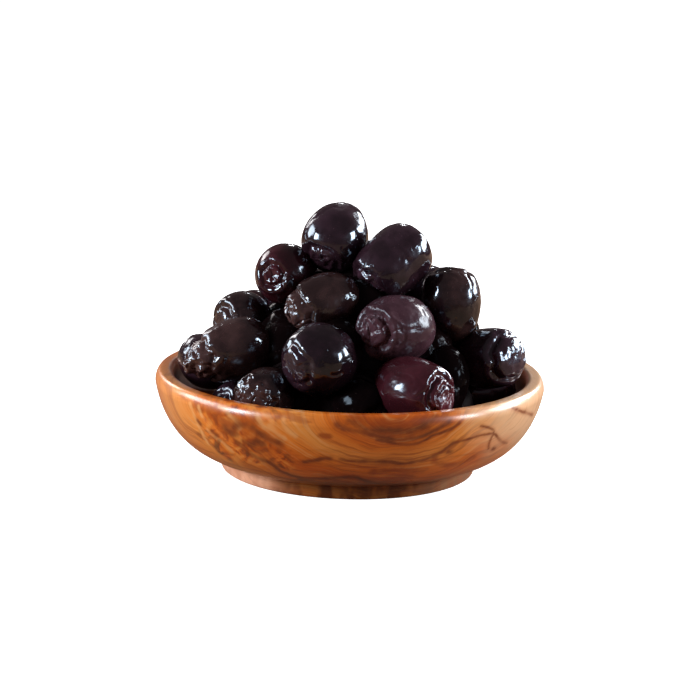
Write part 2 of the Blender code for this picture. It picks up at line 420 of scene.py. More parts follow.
SOFT_GRAIN = (
    GrainLine(((1, 30.2), (6, 28.9), (11, 28.3), (17, 28.3), (21, 29.6)), 1.2),
    GrainLine(((5, 26.0), (11, 25.2), (17, 24.9), (22, 26.2)), 0.8),
    GrainLine(((-48, 27.9), (-41, 27.6), (-36, 27.0), (-31, 26.9), (-27, 27.2)), 1.5),
    GrainLine(((-42, 25.8), (-37, 24.6), (-33, 23.6)), 1.6),
    GrainLine(((-30, 22.5), (-27, 18.5), (-24, 16.5)), 1.6),
    GrainLine(((26, 16.6), (28, 14.6), (33, 13.2), (38, 13.2), (42, 14.7)), 0.8),
    GrainLine(((-12, 6.3), (0, 7.2), (10, 5.8), (30, 5.0)), 1.7),
    GrainLine(((31, 5.0), (37, 6.2)), 1.5),
    GrainLine(((14, 10.8), (21, 10.2)), 1.2),
    GrainLine(((-7.5, 24.4), (-5, 24.3)), 0.6),
    GrainLine(((8, 12.5), (16, 13.2), (24, 12.0)), 1.0),
)

PALE_GRAIN = (
    GrainLine(((-51, 27.3), (-50, 24.4), (-49, 21.6), (-48, 18.0), (-47.5, 15.5)), 0.50),
    GrainLine(((-47, 27.3), (-46, 24.6)), 0.45),
    GrainLine(((-45, 20.7), (-43, 19.1), (-40, 17.7), (-37, 15.0)), 0.50),
    GrainLine(((-39, 29.0), (-37, 28.5), (-35, 27.2), (-33, 25.7), (-32, 23.5)), 0.50),
    GrainLine(((-18, 29.2), (-18, 27.0), (-17, 25.3), (-14.5, 23.5)), 0.50),
    GrainLine(((-26, 28.5), (-24, 25.5), (-21, 24.2)), 0.55),
    GrainLine(((-22, 26.0), (-20, 23.6), (-18, 22.6)), 0.60),
)


@dataclass(frozen=True)
class WoodFinish:
    """Oiled olive wood: growth rings round a heart near the front rim, a burl, and pale sapwood, with painted
    shade in the hollow and on the foot, painted light on the foot's left end, and painted sheen towards -X.

    heart and burl are places in millimetres, and so is the centre of the painted shade on the foot.
    ring_stretch says how fast the rings change along each axis, and ring_span is how far from the heart their
    last colour lies.
    """

    heart: Place = (14.0, -58.0, 31.5)
    ring_stretch: Place = (1.0, 0.36, 2.1)
    ring_span: float = 95.0
    burl: Place = (-31.0, -48.0, 21.0)
    # The centre of the painted shade on the front of the foot.
    foot_shade_centre: Place = (3.0, -42.0, 1.0)
    # Painted light for the foot's left end, and painted shade for its right end.
    foot_left_painted_light: Colour = (0.84, 0.48, 0.33)
    foot_right_painted_shade: Colour = (0.135, 0.085, 0.061)
    sapwood: Colour = (0.80, 0.53, 0.31)
    # Painted sheen, rosy, towards -X.
    blush: Colour = (0.66, 0.30, 0.14)
    pale: Colour = (0.88, 0.32, 0.060)
    cream: Colour = (0.90, 0.48, 0.18)
    honey: Colour = (0.80, 0.200, 0.016)
    amber: Colour = (0.64, 0.120, 0.007)
    russet: Colour = (0.34, 0.056, 0.006)
    brown: Colour = (0.26, 0.055, 0.012)
    dark: Colour = (0.090, 0.018, 0.005)
    # Painted shade down in the hollow.
    stain: Colour = (0.125, 0.034, 0.008)

    def material(self) -> bpy.types.Material:
        """Makes the wood.

        Returns:
            The material.
        """
        made, _, shader = new_material("olive_wood", {"Coat Roughness": 0.25, "Specular IOR Level": 0.30})
        paint = WoodPaint(made.node_tree, self)
        colour = paint.rings()
        # The first of these also paints sheen towards -X, and the last paints light and shade on the foot.
        for change in (paint.sapwood_and_left_sheen, paint.burl_patch, paint.grain_lines, paint.dark_foot):
            colour = change(colour)
        fibres = paint.along_rings(1.9, 0.13, 3.0)
        colour = paint.tinted(colour, self.russet, paint.step(fibres, 0.50, 0.72), 0.28)
        colour = paint.tinted(colour, self.pale, paint.step(fibres, 0.50, 0.28), 0.16)
        inside = paint.attribute("inside")
        hollow = paint.step(inside, 0.0, 0.14)
        colour = paint.tinted(colour, self.amber, hollow, 0.85)
        # Painted shade, deepening down the hollow.
        colour = paint.tinted(colour, self.stain, paint.step(inside, 0.05, 1.0), 0.92)
        looks = {
            "Base Color": colour,
            "Roughness": paint.total(0.34, paint.signed(fibres, 0.16), paint.product(inside, 0.3)),
            "Normal": paint.bump(fibres, 0.20, 0.15 * MM),
            "Coat Weight": paint.product(paint.math("SUBTRACT", 1.0, hollow), 0.90),
        }
        paint.fill(shader, looks)
        return made


class WoodPaint(Graph):
    """The nodes of the wood's colour, which read the place in millimetres and its distance from the heart."""

    def __init__(self, tree: bpy.types.NodeTree, finish: WoodFinish) -> None:
        """Measures the distance from the heart across wavering growth rings.

        Args:
            tree: the material's tree.
            finish: the wood's colours and places.
        """
        super().__init__(tree)
        self.finish = finish
        self.point = self.scaled(self.place(), 1.0 / MM)
        self.x, self.y, self.z = self.axes(self.point)
        waver = self.vector("ADD", self.point, self.swing(self.point, 0.030, 1.0, 15.0))
        waver = self.vector("ADD", waver, self.swing(self.point, 0.13, 2.0, 2.2))
        across = self.vector("MULTIPLY", self.vector("SUBTRACT", waver, finish.heart), finish.ring_stretch)
        self.ring = self.vector("LENGTH", across)

    def along_rings(self, across: float, along: float, detail: float, w: float = 0.0) -> Socket:
        """A noise value drawn out along the rings, from how fast it changes across and along them."""
        place = self.vector("MULTIPLY", self.joined(self.ring, self.x, self.y), (across, along, along))
        return self.noise(place, 1.0, detail, w)

    def stretched(self, stretch: Place, detail: float, w: float) -> Socket:
        """A noise value that changes at its own pace along each axis."""
        return self.noise(self.vector("MULTIPLY", self.point, stretch), 1.0, detail, w)

    def rings(self) -> Socket:
        """Broad soft bands with fine threads, blots along the lip, and darker streaks low down.

        Returns:
            The colour.
        """
        wood = self.finish
        places = (0.00, 0.11, 0.16, 0.24, 0.33, 0.42, 0.52, 0.60, 0.70, 0.80, 1.00)
        bands = (wood.amber, wood.amber, wood.honey, wood.honey, wood.pale, wood.honey)
        bands += (wood.amber, wood.honey, wood.pale, wood.honey, wood.amber)
        colour = self.ramp(self.math("DIVIDE", self.ring, wood.ring_span), tuple(zip(places, bands)))
        cloud = self.along_rings(0.13, 0.03, 3.0)
        colour = self.tinted(colour, wood.amber, self.step(cloud, 0.52, 0.70), 0.75)
        colour = self.tinted(colour, wood.pale, self.step(cloud, 0.48, 0.30), 0.45)
        threads = self.along_rings(0.50, 0.045, 4.0, 6.0)
        colour = self.tinted(colour, wood.russet, self.step(threads, 0.52, 0.65), 0.56)
        colour = self.tinted(colour, wood.cream, self.step(threads, 0.46, 0.34), 0.38)
        blots = self.step(self.stretched((0.09, 0.09, 0.30), 3.0, 17.0), 0.50, 0.62)
        colour = self.tinted(colour, wood.russet, blots, self.step(self.z, 26.0, 28.5), 0.60)
        streaks = self.step(self.stretched((0.045, 0.045, 0.60), 3.0, 4.0), 0.50, 0.70)
        return self.tinted(colour, wood.russet, streaks, self.step(self.z, 25.0, 11.0), 0.55)

    def sapwood_and_left_sheen(self, colour: Value) -> Socket:
        """Turns the wood to pale sapwood towards +X, and paints a rosy sheen towards -X.

        Args:
            colour: the colour of the heartwood.

        Returns:
            The colour.
        """
        # Painted sheen towards -X.
        colour = self.tinted(colour, self.finish.blush, self.step(self.x, -40.0, -58.0), 0.35)
        ragged = self.signed(self.noise(self.point, 0.05, 2.0, 9.0), 16.0)
        edge = self.total(self.x, self.product(self.z, 0.55), ragged)
        return self.tinted(colour, self.finish.sapwood, self.step(edge, 44.0, 64.0), 0.80)

    def burl_patch(self, colour: Value) -> Socket:
        """A patch of swirling grain, reddish and mottled.

        Args:
            colour: the colour of the plain wood.

        Returns:
            The colour with the patch in it.
        """
        wood = self.finish
        ragged = self.signed(self.noise(self.point, 0.14, 3.0), 16.0)
        mask = self.step(self.total(self.vector("DISTANCE", self.point, wood.burl), ragged), 17.0, 7.0)
        swirl = {"Vector": self.point, "Scale": 0.20, "Detail": 5.0, "Distortion": 1.0}
        places = (0.37, 0.42, 0.47, 0.53, 0.61)
        stops = tuple(zip(places, (wood.dark, wood.russet, wood.amber, wood.honey, wood.pale)))
        mottle = self.ramp(self.node("ShaderNodeTexNoise", swirl).outputs["Fac"], stops)
        return self.tinted(colour, mottle, mask, 0.86)

    def grain_lines(self, colour: Value) -> Socket:
        """Draws the dark and the pale lines of figure, with uneven soft edges.

        Args:
            colour: the colour of the wood without them.

        Returns:
            The colour.
        """
        wood = self.finish
        ragged = self.signed(self.noise(self.point, 0.45, 2.0, 2.0), 0.9)
        fading = self.step(self.noise(self.point, 0.16, 2.0, 7.0), 0.34, 0.60)
        strength = self.total(0.55, self.product(fading, 0.45))
        for name, ink, deepest in (("soft_grain", wood.russet, 0.75), ("pale_grain", wood.cream, 0.62)):
            away = self.total(self.attribute(name), self.product(ragged, 1.4))
            colour = self.tinted(colour, ink, self.step(away, 2.4, 0.2), strength, deepest)
        swelling = self.total(0.25, self.product(self.noise(self.point, 0.15, 2.0, 14.0), 1.6))
        away = self.product(self.attribute("dark_grain"), swelling)
        halo = self.product(self.step(away, 4.6, 0.4), 0.50)
        colour = self.tinted(colour, wood.russet, halo, strength)
        ink = self.mix(self.noise(self.point, 0.10, 2.0, 21.0), wood.dark, wood.brown)
        return self.tinted(colour, ink, self.step(self.total(away, ragged), 2.1, 0.1), strength, 0.93)

    def dark_foot(self, colour: Value) -> Socket:
        """Painted shade on the front of the foot, painted light on its left end and painted shade on its
        right end, with darker bars of grain.

        Args:
            colour: the colour of the wood without it.

        Returns:
            The colour.
        """
        wood = self.finish
        away = self.vector("MULTIPLY", self.vector("SUBTRACT", self.point, wood.foot_shade_centre), (1.0, 0.8, 3.2))
        ragged = self.signed(self.noise(self.point, 0.12, 3.0, 1.0), 14.0)
        mask = self.step(self.total(self.vector("LENGTH", away), ragged), 36.0, 14.0)
        on_foot = self.step(self.z, 4.6, 4.2)
        tint = self.mix(self.step(self.x, -5.0, 15.0), wood.foot_left_painted_light, wood.foot_right_painted_shade)
        ends = self.step(self.math("ABSOLUTE", self.x), 12.0, 26.0)
        # Painted light on the foot's left end and painted shade on its right end.
        colour = self.tinted(colour, tint, on_foot, ends, 0.80)
        bars = self.product(self.step(self.stretched((0.20, 0.20, 0.10), 2.0, 12.0), 0.42, 0.60), on_foot)
        colour = self.tinted(colour, wood.russet, bars, 0.28)
        # Painted shade through the front of the foot, where it lies under the dish.
        return self.tinted(colour, wood.dark, mask, self.total(0.62, self.product(bars, 0.34)))


@dataclass
class TurnedDish:
    """The dish: its profile in millimetres, the same as the solid's, with finer steps."""

    rim_radius: float = 60.0
    lip_base: float = 27.0
    belly_radius: float = 60.8
    belly_top: float = 38.0
    belly_centre: float = 32.0
    belly_drop: float = 34.3
    belly_power: float = 2.4
    lip_flat_outside: float = 58.0
    lip_flat_inside: float = 56.2
    lip_height: float = 30.5
    hollow_radius: float = 54.4
    hollow_top: float = 28.6
    foot_radius: float = 39.2
    foot_height: float = 4.4
    foot_edge: float = 0.6
    foot_ring_inside: float = 33.0
    foot_recess: float = 1.6
    edge_width: float = 0.2
    edge_height: float = 0.15
    floor_height: float = 7.5
    floor_radius: float = 22.0
    hollow_power: float = 1.9
    segments: int = 560
    wall_steps: int = 100
    hollow_steps: int = 28
    lip_steps: int = 8
    unevenness: float = 0.12
    swell_scale: float = 45.0
    far_from_lines: float = 6.0
    # How far down the hollow the painted shade deepens, in millimetres.
    hollow_shade_fade: float = 4.8
    finish: WoodFinish = field(default_factory=WoodFinish)

    @staticmethod
    def bulge(share: float, power: float) -> float:
        """A rounded wall's width, from 1 at its widest to 0 at its lowest, where share is 1."""
        return max(0.0, 1.0 - share**power) ** (1.0 / power)

    def outer_radius(self, z: float) -> float:
        """Radius of the outside.

        Args:
            z: a height between the foot and the lip.

        Returns:
            The radius.
        """
        share = (self.belly_top - z) / self.belly_drop
        width = self.belly_radius - self.belly_centre
        return self.belly_centre + width * self.bulge(share, self.belly_power)

    def inner_radius(self, z: float) -> float:
        """Radius of the hollow, which opens out over the lip's inner edge.

        Args:
            z: a height.

        Returns:
            The radius, which has no end above the lip.
        """
        if z >= self.lip_height:
            return float("inf")
        if z > self.hollow_top:
            rise = (z - self.hollow_top) / (self.lip_height - self.hollow_top)
            edge = self.lip_flat_inside - self.hollow_radius
            return self.hollow_radius + edge * (1.0 - (1.0 - rise**2) ** 0.5)
        share = (self.hollow_top - max(z, self.floor_height)) / (self.hollow_top - self.floor_height)
        width = self.hollow_radius - self.floor_radius
        return self.floor_radius + width * self.bulge(share, self.hollow_power)

    def profile(self) -> list[Point]:
        """The dish's section.

        Returns:
            (radius, height) points from the axis under the foot, round the outside, to the axis inside.
        """
        recess_edge = self.foot_ring_inside - self.foot_recess
        points = [(share * recess_edge, self.foot_recess) for share in (0.0, 0.5, 1.0)]
        points.append((self.foot_ring_inside - self.edge_width, self.edge_height))
        points.append((self.foot_ring_inside + self.edge_width, 0.0))
        foot_floor = Vector((self.foot_radius - self.foot_edge, 0.0))
        foot_side = Vector((self.foot_radius, self.foot_edge))
        points += quarter(foot_floor, foot_side, 4, Vector((foot_floor.x, foot_side.y)))
        points.append((self.foot_radius, 0.5 * self.foot_height))
        points.append((self.foot_radius, self.foot_height - self.edge_height))
        points.append((self.foot_radius + 0.5 * self.edge_width, self.foot_height))
        for step in range(self.wall_steps):
            turn = 0.5 * pi * step / self.wall_steps
            z = self.lip_base - (self.lip_base - self.foot_height) * cos(turn)
            points.append((self.outer_radius(z), z))
        widest = Vector((self.rim_radius, self.lip_base))
        outside = Vector((self.lip_flat_outside, self.lip_height))
        inside = Vector((self.lip_flat_inside, self.lip_height))
        hollow = Vector((self.hollow_radius, self.hollow_top))
        points += quarter(widest, outside, self.lip_steps, Vector((outside.x, widest.y)))
        points += quarter(inside, hollow, self.lip_steps, Vector((inside.x, hollow.y)))
        for step in range(1, self.hollow_steps + 1):
            turn = 0.5 * pi * step / self.hollow_steps
            z = self.hollow_top - (self.hollow_top - self.floor_height) * sin(turn)
            points.append((self.inner_radius(z), z))
        return [*points, (0.0, self.floor_height)]

    def insideness(self, x: float, y: float, z: float) -> float:
        """How far a point of the surface lies down the hollow.

        Args:
            x: its place in millimetres.
            y: its place in millimetres.
            z: its height in millimetres.

        Returns:
            0 outside and on the lip, rising to 1 in the hollow.
        """
        if z < self.floor_height - 0.1 or hypot(x, y) > self.inner_radius(z) + 0.3:
            return 0.0
        return min(1.0, max(0.0, (self.lip_height - z) / self.hollow_shade_fade))

    def line_distances(self, spots: np.ndarray, lines: Sequence[GrainLine]) -> np.ndarray:
        """How far some points lie from the nearest line of figure on the outside.

        Args:
            spots: the points in millimetres, one in each row.
            lines: the lines.

        Returns:
            The distances, in widths of the nearest line.
        """
        nearest = np.full(len(spots), self.far_from_lines)
        for line in lines:
            curve = []
            for degrees_round, z in line.smooth():
                around = radians(degrees_round)
                radius = self.outer_radius(min(z, self.lip_base))
                curve.append(np.array((radius * sin(around), -radius * cos(around), z)))
            for start, end in zip(curve, curve[1:]):
                along = end - start
                share = np.clip((spots - start) @ along / (along @ along), 0.0, 1.0)
                away = np.linalg.norm(spots - start - share[:, None] * along, axis=1)
                nearest = np.minimum(nearest, away / line.width)
        return nearest

    def build(self) -> bpy.types.Object:
        """Builds the dish, a little uneven as turned wood becomes.

        Returns:
            The finished piece.
        """
        mesh = turned("turned_dish", self.profile(), self.segments)
        spots = np.array([vertex.co / MM for vertex in mesh.vertices])
        grain = {"dark_grain": DARK_GRAIN, "soft_grain": SOFT_GRAIN, "pale_grain": PALE_GRAIN}
        layers = {name: self.line_distances(spots, lines) for name, lines in grain.items()}
        layers["inside"] = [self.insideness(*spot) for spot in spots]
        for name, values in layers.items():
            mesh.attributes.new(name, "FLOAT", "POINT").data.foreach_set("value", values)
        for vertex in mesh.vertices:
            swell = noise.noise(vertex.co * self.swell_scale) * self.unevenness * MM
            outward = Vector((vertex.co.x, vertex.co.y, 0.0))
            if outward.length > self.foot_ring_inside * MM and vertex.co.z > self.foot_height * MM:
                vertex.co += outward.normalized() * (swell - 0.5 * self.unevenness * MM)
        mesh.materials.append(self.finish.material())
        return fastened("turned_dish", mesh, "dish")


class Kind(Enum):
    """The sorts of olive in the heap, by the colour of their skin. SHADED is a near-black copy of the skin,
    painted shade for olives in the gaps and inside the heap.
    """

    BLACK = "black"
    PLUM = "plum"
    WINE = "wine"
    BROWN = "brown"
    SHADED = "shaded"


@dataclass(frozen=True)
class SkinFinish:
    """Wet olive skin: a deep colour with paler mottling, caps made paler partly by painted sheen, and a few
    pale specks.
    """

    kind: Kind
    deep: Colour
    pale: Colour
    roughness: float = 0.11
    gloss: float = 0.85
    wetness: float = 0.22
    cool_shine: tuple[float, ...] = (0.66, 0.82, 1.0, 1.0)
    speck: Colour = (0.16, 0.10, 0.10)

    def material(self, pattern: bpy.types.NodeTree) -> bpy.types.Material:
        """Makes the skin.

        Args:
            pattern: the node group that all skins share.

        Returns:
            The material.
        """
        constants = {"Specular IOR Level": self.gloss, "Specular Tint": self.cool_shine}
        constants |= {"Coat Weight": self.wetness, "Coat Roughness": 0.05}
        made, graph, shader = new_material(f"olive_skin_{self.kind.value}", constants)
        cap = graph.attribute("cap")
        inputs = {"Place": graph.place(), "Pucker": cap}
        shared = graph.node("ShaderNodeGroup", inputs, node_tree=pattern).outputs
        tone = graph.product(graph.attribute("tone"), 0.60)
        # Caps are paler: partly their own lighter skin, partly painted sheen on their wrinkles.
        paleness = graph.total(graph.product(shared["Mottle"], 0.45), tone, graph.product(cap, 0.55))
        colour = graph.mix(paleness, self.deep, self.pale)
        looks = {
            "Base Color": graph.tinted(colour, self.speck, shared["Specks"], 0.15),
            "Roughness": graph.total(self.roughness, graph.product(shared["Mottle"], 0.12)),
            "Normal": graph.bump(shared["Relief"], 1.0, 0.16 * MM),
        }
        graph.fill(shader, looks)
        return made


def skin_pattern() -> bpy.types.NodeTree:
    """The pattern that every olive skin shares.

    Returns:
        A node group that puts out mottling, specks and fine relief.
    """
    outputs = dict.fromkeys(("Mottle", "Specks", "Relief"), "Float")
    group = new_group("skin_pattern", "ShaderNodeTree", {"Place": "Vector", "Pucker": "Float"}, outputs)
    graph = Graph(group)
    given = graph.node("NodeGroupInput").outputs
    point = graph.scaled(given["Place"], 1.0 / MM)
    blots = graph.signed(graph.noise(point, 0.45, 3.0, 5.0), 0.15)
    patches = graph.total(graph.noise(point, 0.11, 3.0), blots)
    dots = graph.node("ShaderNodeTexVoronoi", {"Vector": point, "Scale": 0.55}).outputs["Distance"]
    specks = graph.step(dots, 0.12, 0.05)
    drift = graph.node("ShaderNodeTexNoise", {"Vector": point, "Scale": 0.5, "Detail": 1.0}).outputs["Color"]
    wandering = graph.vector("ADD", point, graph.scaled(drift, 1.6))
    creases = graph.furrow(graph.noise(wandering, 0.36, 1.0, 2.0), 0.045)
    small = graph.noise(wandering, 0.66, 1.0, 8.0)
    worn = graph.step(graph.noise(point, 0.16, 1.0, 3.0), 0.53, 0.68)
    rough_places = graph.math("MAXIMUM", given["Pucker"], worn)
    folds = graph.total(graph.product(creases, -0.25), graph.product(small, 0.60))
    folds = graph.product(folds, rough_places)
    calm = graph.total(graph.product(graph.noise(point, 0.5, 1.0, 5.0), 0.30), graph.product(specks, 0.05))
    mottle = graph.step(patches, 0.40, 0.68)
    graph.node("NodeGroupOutput", {"Mottle": mottle, "Specks": specks, "Relief": graph.total(folds, calm)})
    return group


# The stem end that the solid's olives have, as an angle from the end and shares of the half size.
SOLID_CREASE_ANGLE = radians(36)
SOLID_CREASE_WIDTH = radians(7)
SOLID_CREASE_DEPTH = 0.055
SOLID_CAP_SINK = 0.035

OUTLINE_DEGREES = (0, 17, 30, 38, 52, 74, 98, 124, 152, 180)
OUTLINE_SIDES = 11


@dataclass
class Olive:
    """One olive in the heap, in millimetres.

    centre is its middle and stem the way its stem end points. taper narrows it towards the stem, block
    squares its ends, pucker draws its stem end in, cap_size widens that end's cap, folds wrinkle the cap,
    shrivel wrinkles the body, flat presses it from one side, and tone makes it paler.
    """

    centre: Vector
    stem: Vector
    length: float
    thickness: float
    kind: Kind = Kind.BLACK
    taper: float = 0.05
    block: float = 0.0
    pucker: float = 1.0
    cap_size: float = 1.0
    folds: float = 1.0
    shrivel: float = 0.2
    tone: float = 0.3
    flat: float = 1.0
    seed: float = 0.0

    def reach(self, angle: float) -> float:
        """The share of its plain half size that the solid has at an angle from the stem end."""
        crease = SOLID_CREASE_DEPTH * exp(-(((angle - SOLID_CREASE_ANGLE) / SOLID_CREASE_WIDTH) ** 2))
        return 1.0 - crease - (SOLID_CAP_SINK if angle < SOLID_CREASE_ANGLE else 0.0)

    def outline(self) -> list[Vector]:
        """Points of the olive's surface, for finding out what it touches.

        Returns:
            The points.
        """
        turn = Vector((0, 0, 1)).rotation_difference(self.stem)
        points = []
        for degrees_down in OUTLINE_DEGREES:
            angle = radians(degrees_down)
            wide = 0.5 * self.thickness * self.reach(angle) * sin(angle) * (1.0 - self.taper * cos(angle))
            along = 0.5 * self.length * self.reach(angle) * cos(angle)
            for step in range(OUTLINE_SIDES):
                around = 2 * pi * step / OUTLINE_SIDES
                points.append(self.centre + turn @ Vector((wide * cos(around), wide * sin(around), along)))
        return points

    def shortfall(self, other: "Olive", share: float) -> float:
        """How much nearer another olive lies than a share of the distance at which they touch."""
        touching = 0.25 * (self.length + self.thickness + other.length + other.thickness)
        return share * touching - (self.centre - other.centre).length


def olive(centre: Place, stem: Place, length: float, thickness: float, **looks: object) -> Olive:
    """An olive placed from its middle, the way its stem points, its sizes and its other fields."""
    return Olive(Vector(centre), Vector(stem).normalized(), length, thickness, **looks)


FRONT_OLIVES = {
    "peak": olive(
        (-5.4, 0, 72.0), (-0.42, -0.65, -0.62), 23.4, 20.2, taper=-0.12, tone=0.25, cap_size=0.85, folds=0.7
    ),
    "peak_right": olive(
        (11.8, -8, 65.5), (-0.66, -0.47, -0.58), 23.9, 20.3, block=1.25, tone=0.30, pucker=1.2, cap_size=0.95
    ),
    "shoulder_left": olive(
        (-20.7, -2, 60.3), (-0.40, -0.88, 0.10), 21.0, 19.0,
        kind=Kind.WINE, tone=0.0, pucker=1.6, cap_size=0.64, folds=0.55,
    ),
    "middle": olive(
        (-9, -17, 54.5), (-0.86, -0.42, -0.29), 26.0, 17.5,
        kind=Kind.BROWN, tone=0.22, pucker=1.2, cap_size=1.6, folds=1.0, shrivel=0.5,
    ),
    "shoulder_right": olive(
        (30.2, -6, 52.9), (-0.05, 0.20, 0.97), 24.0, 19.3,
        kind=Kind.BROWN, taper=-0.14, block=0.35, shrivel=0.9, tone=0.05, pucker=0.5, folds=0.1,
    ),
    "chest_right": olive(
        (12.9, -25, 48.8), (-0.66, -0.75, 0.05), 26.0, 21.0,
        kind=Kind.PLUM, tone=0.60, block=0.2, pucker=1.9, folds=0.60, shrivel=0.7,
    ),
    "left_behind": olive(
        (-33.8, 2, 44.6), (-0.80, -0.60, -0.10), 19.0, 18.5,
        kind=Kind.BROWN, tone=0, pucker=1.6, cap_size=1.2, folds=0.45,
    ),
    "left_long": olive(
        (-37.6, -18, 38.6), (-0.90, -0.28, -0.28), 30.3, 18.3,
        kind=Kind.BROWN, taper=0.30, tone=0.50, pucker=1.4, cap_size=1.7, folds=1.3, shrivel=0.2,
    ),
    "left_rim": olive((-44.0, -2, 32.5), (-0.60, 0.70, 0.20), 21.0, 17.5, tone=0.3),
    "belly": olive((-9.2, -36, 41.3), (-0.72, -0.68, -0.08), 23.0, 22.0, tone=0.0, pucker=0.8, folds=0.6),
    # Its high tone pales the body as painted light, where it lies in shade.
    "right_edge": olive(
        (42.9, -10, 37.6), (0.66, -0.71, 0.24), 22.6, 19.0,
        tone=0.6, block=0.6, pucker=1.6, cap_size=1.4, folds=0.08,
    ),
    # This olive in a gap takes the near-black skin, as painted shade.
    "right_behind": olive((31.5, 8, 41.0), (0.30, -0.90, 0.20), 21.0, 18.0, kind=Kind.SHADED, shrivel=0.9),
    "front_right": olive(
        (20.2, -41, 31.5), (0.74, -0.67, 0.05), 27.5, 20.8,
        kind=Kind.WINE, tone=0.4, block=0.35, pucker=1.6, folds=0.55,
    ),
    "front_left": olive(
        (-25.6, -36, 29), (-0.48, -0.87, 0.08), 23.0, 18.0,
        kind=Kind.BROWN, tone=0.0, pucker=1.1, cap_size=1.35, folds=1.0, shrivel=0.4,
    ),
    # These olives in the gaps take the near-black skin, as painted shade.
    "right_dark": olive((27.5, -17, 32.5), (0.10, -0.30, -0.95), 21.0, 17.5, kind=Kind.SHADED),
    "between_left": olive((-19, -8, 41), (0.30, -0.80, -0.50), 21.0, 18.0, kind=Kind.SHADED),
    "between_front": olive((4, -35, 28), (0.60, -0.70, -0.30), 22.0, 19.0, kind=Kind.SHADED),
    "between_upper": olive((4.5, -23, 37.5), (0.60, -0.50, -0.60), 22.0, 19.0, kind=Kind.SHADED),
}

DRAWN_LOOKS = {
    "tone": (0.1, 0.6),
    "pucker": (0.7, 1.4),
    "cap_size": (0.8, 1.6),
    "folds": (0.5, 1.2),
    "shrivel": (0.1, 0.8),
    "block": (0.0, 0.5),
}


@dataclass(frozen=True)
class Ring:
    """Olives set evenly round the dish's axis, in millimetres."""

    height: float
    radius: float
    count: int
    first_angle: float


@dataclass
class HeapPlan:
    """Where every olive lies: listed at the front, and by a seeded rule at the sides, back and inside."""

    dish: TurnedDish
    rings: tuple[Ring, ...] = (
        Ring(23.5, 42.5, 13, radians(8)),
        Ring(38.0, 36.5, 11, radians(20)),
        Ring(51.5, 24.0, 7, radians(38)),
        Ring(61.0, 11.0, 4, radians(70)),
    )
    inner_rings: tuple[Ring, ...] = (
        Ring(27.0, 30.0, 8, radians(12)),
        Ring(40.0, 23.0, 6, radians(30)),
        Ring(52.0, 11.0, 3, radians(50)),
    )
    seed: int = 11
    turn_jitter: float = radians(5)
    shift_jitter: float = 1.0
    lengths: Point = (21.5, 25.0)
    thicknesses: Point = (18.5, 20.5)
    stem_rise: Point = (-0.6, 0.8)
    flatness: Point = (0.93, 1.0)
    kinds: tuple[Kind, ...] = (Kind.BLACK, Kind.BLACK, Kind.BLACK, Kind.PLUM, Kind.WINE)
    lean_outwards: float = 0.6
    place_taken: float = 0.62
    closest: float = 0.90
    settle_rounds: int = 40
    gap: float = 0.35
    push_step: float = 0.2
    push_up: float = 0.4

    def clear_of_dish(self, one: Olive) -> Olive:
        """Slides an olive towards the axis and up until it is clear of the wood.

        Args:
            one: the olive.

        Returns:
            The same olive.
        """
        while any(
            point.z < self.dish.floor_height + self.gap
            or hypot(point.x, point.y) > self.dish.inner_radius(point.z) - 2.0 * self.gap
            for point in one.outline()
        ):
            inward = Vector((-one.centre.x, -one.centre.y, 0.0)).normalized()
            one.centre += (inward + Vector((0.0, 0.0, self.push_up))) * self.push_step
        return one

    def scattered(self, rings: Iterable[Ring], draw: Random) -> list[Olive]:
        """Olives of random size and lie along some rings.

        Args:
            rings: the rings.
            draw: the source of random numbers.

        Returns:
            The olives.
        """
        made = []
        for ring in rings:
            for step in range(ring.count):
                around = ring.first_angle + 2 * pi * step / ring.count
                around += draw.uniform(-1, 1) * self.turn_jitter
                radius = ring.radius + draw.uniform(-1, 1) * self.shift_jitter
                height = ring.height + draw.uniform(-1, 1) * self.shift_jitter
                stem = Vector((draw.uniform(-1, 1), draw.uniform(-1, 1), draw.uniform(*self.stem_rise)))
                stem = (stem + Vector((cos(around), sin(around), 0.0)) * self.lean_outwards).normalized()
                length = draw.uniform(*self.lengths)
                thickness = draw.uniform(*self.thicknesses)
                centre = Vector((radius * cos(around), radius * sin(around), height))
                made.append(Olive(centre, stem, length, thickness))
        return made

    def settle(self, added: list[Olive], placed: list[Olive]) -> None:
        """Pushes olives apart where they lie too near each other.

        Args:
            added: the olives that may move.
            placed: the olives that stay.
        """
        for _ in range(self.settle_rounds):
            for one in added:
                for other in [*placed, *added]:
                    push = one.shortfall(other, self.closest)
                    if other is not one and push > 0.0:
                        one.centre += (one.centre - other.centre).normalized() * 0.5 * push
                self.clear_of_dish(one)

    def lay(self) -> tuple[list[Olive], list[Olive], list[Olive]]:
        """Lays the heap.

        Returns:
            The front's olives, the sides' and back's, and those inside the heap.
        """
        front = [self.clear_of_dish(one) for one in FRONT_OLIVES.values()]
        around = [
            one
            for one in self.scattered(self.rings, Random(self.seed))
            if all(one.shortfall(other, self.place_taken) < 0.0 for other in front)
        ]
        self.settle(around, front)
        inner = self.scattered(self.inner_rings, Random(self.seed + 1))
        draw = Random(self.seed + 2)
        for olives, hidden in ((around, False), (inner, True)):
            for one in olives:
                # Olives inside the heap take the near-black skin, as painted shade.
                one.kind = Kind.SHADED if hidden else draw.choice(self.kinds)
                for name, span in DRAWN_LOOKS.items():
                    setattr(one, name, draw.uniform(*span))
        for index, one in enumerate([*front, *around, *inner]):
            one.seed = 1.0 + 3.7 * index
            one.flat = Random(index).uniform(*self.flatness)
        return front, around, inner


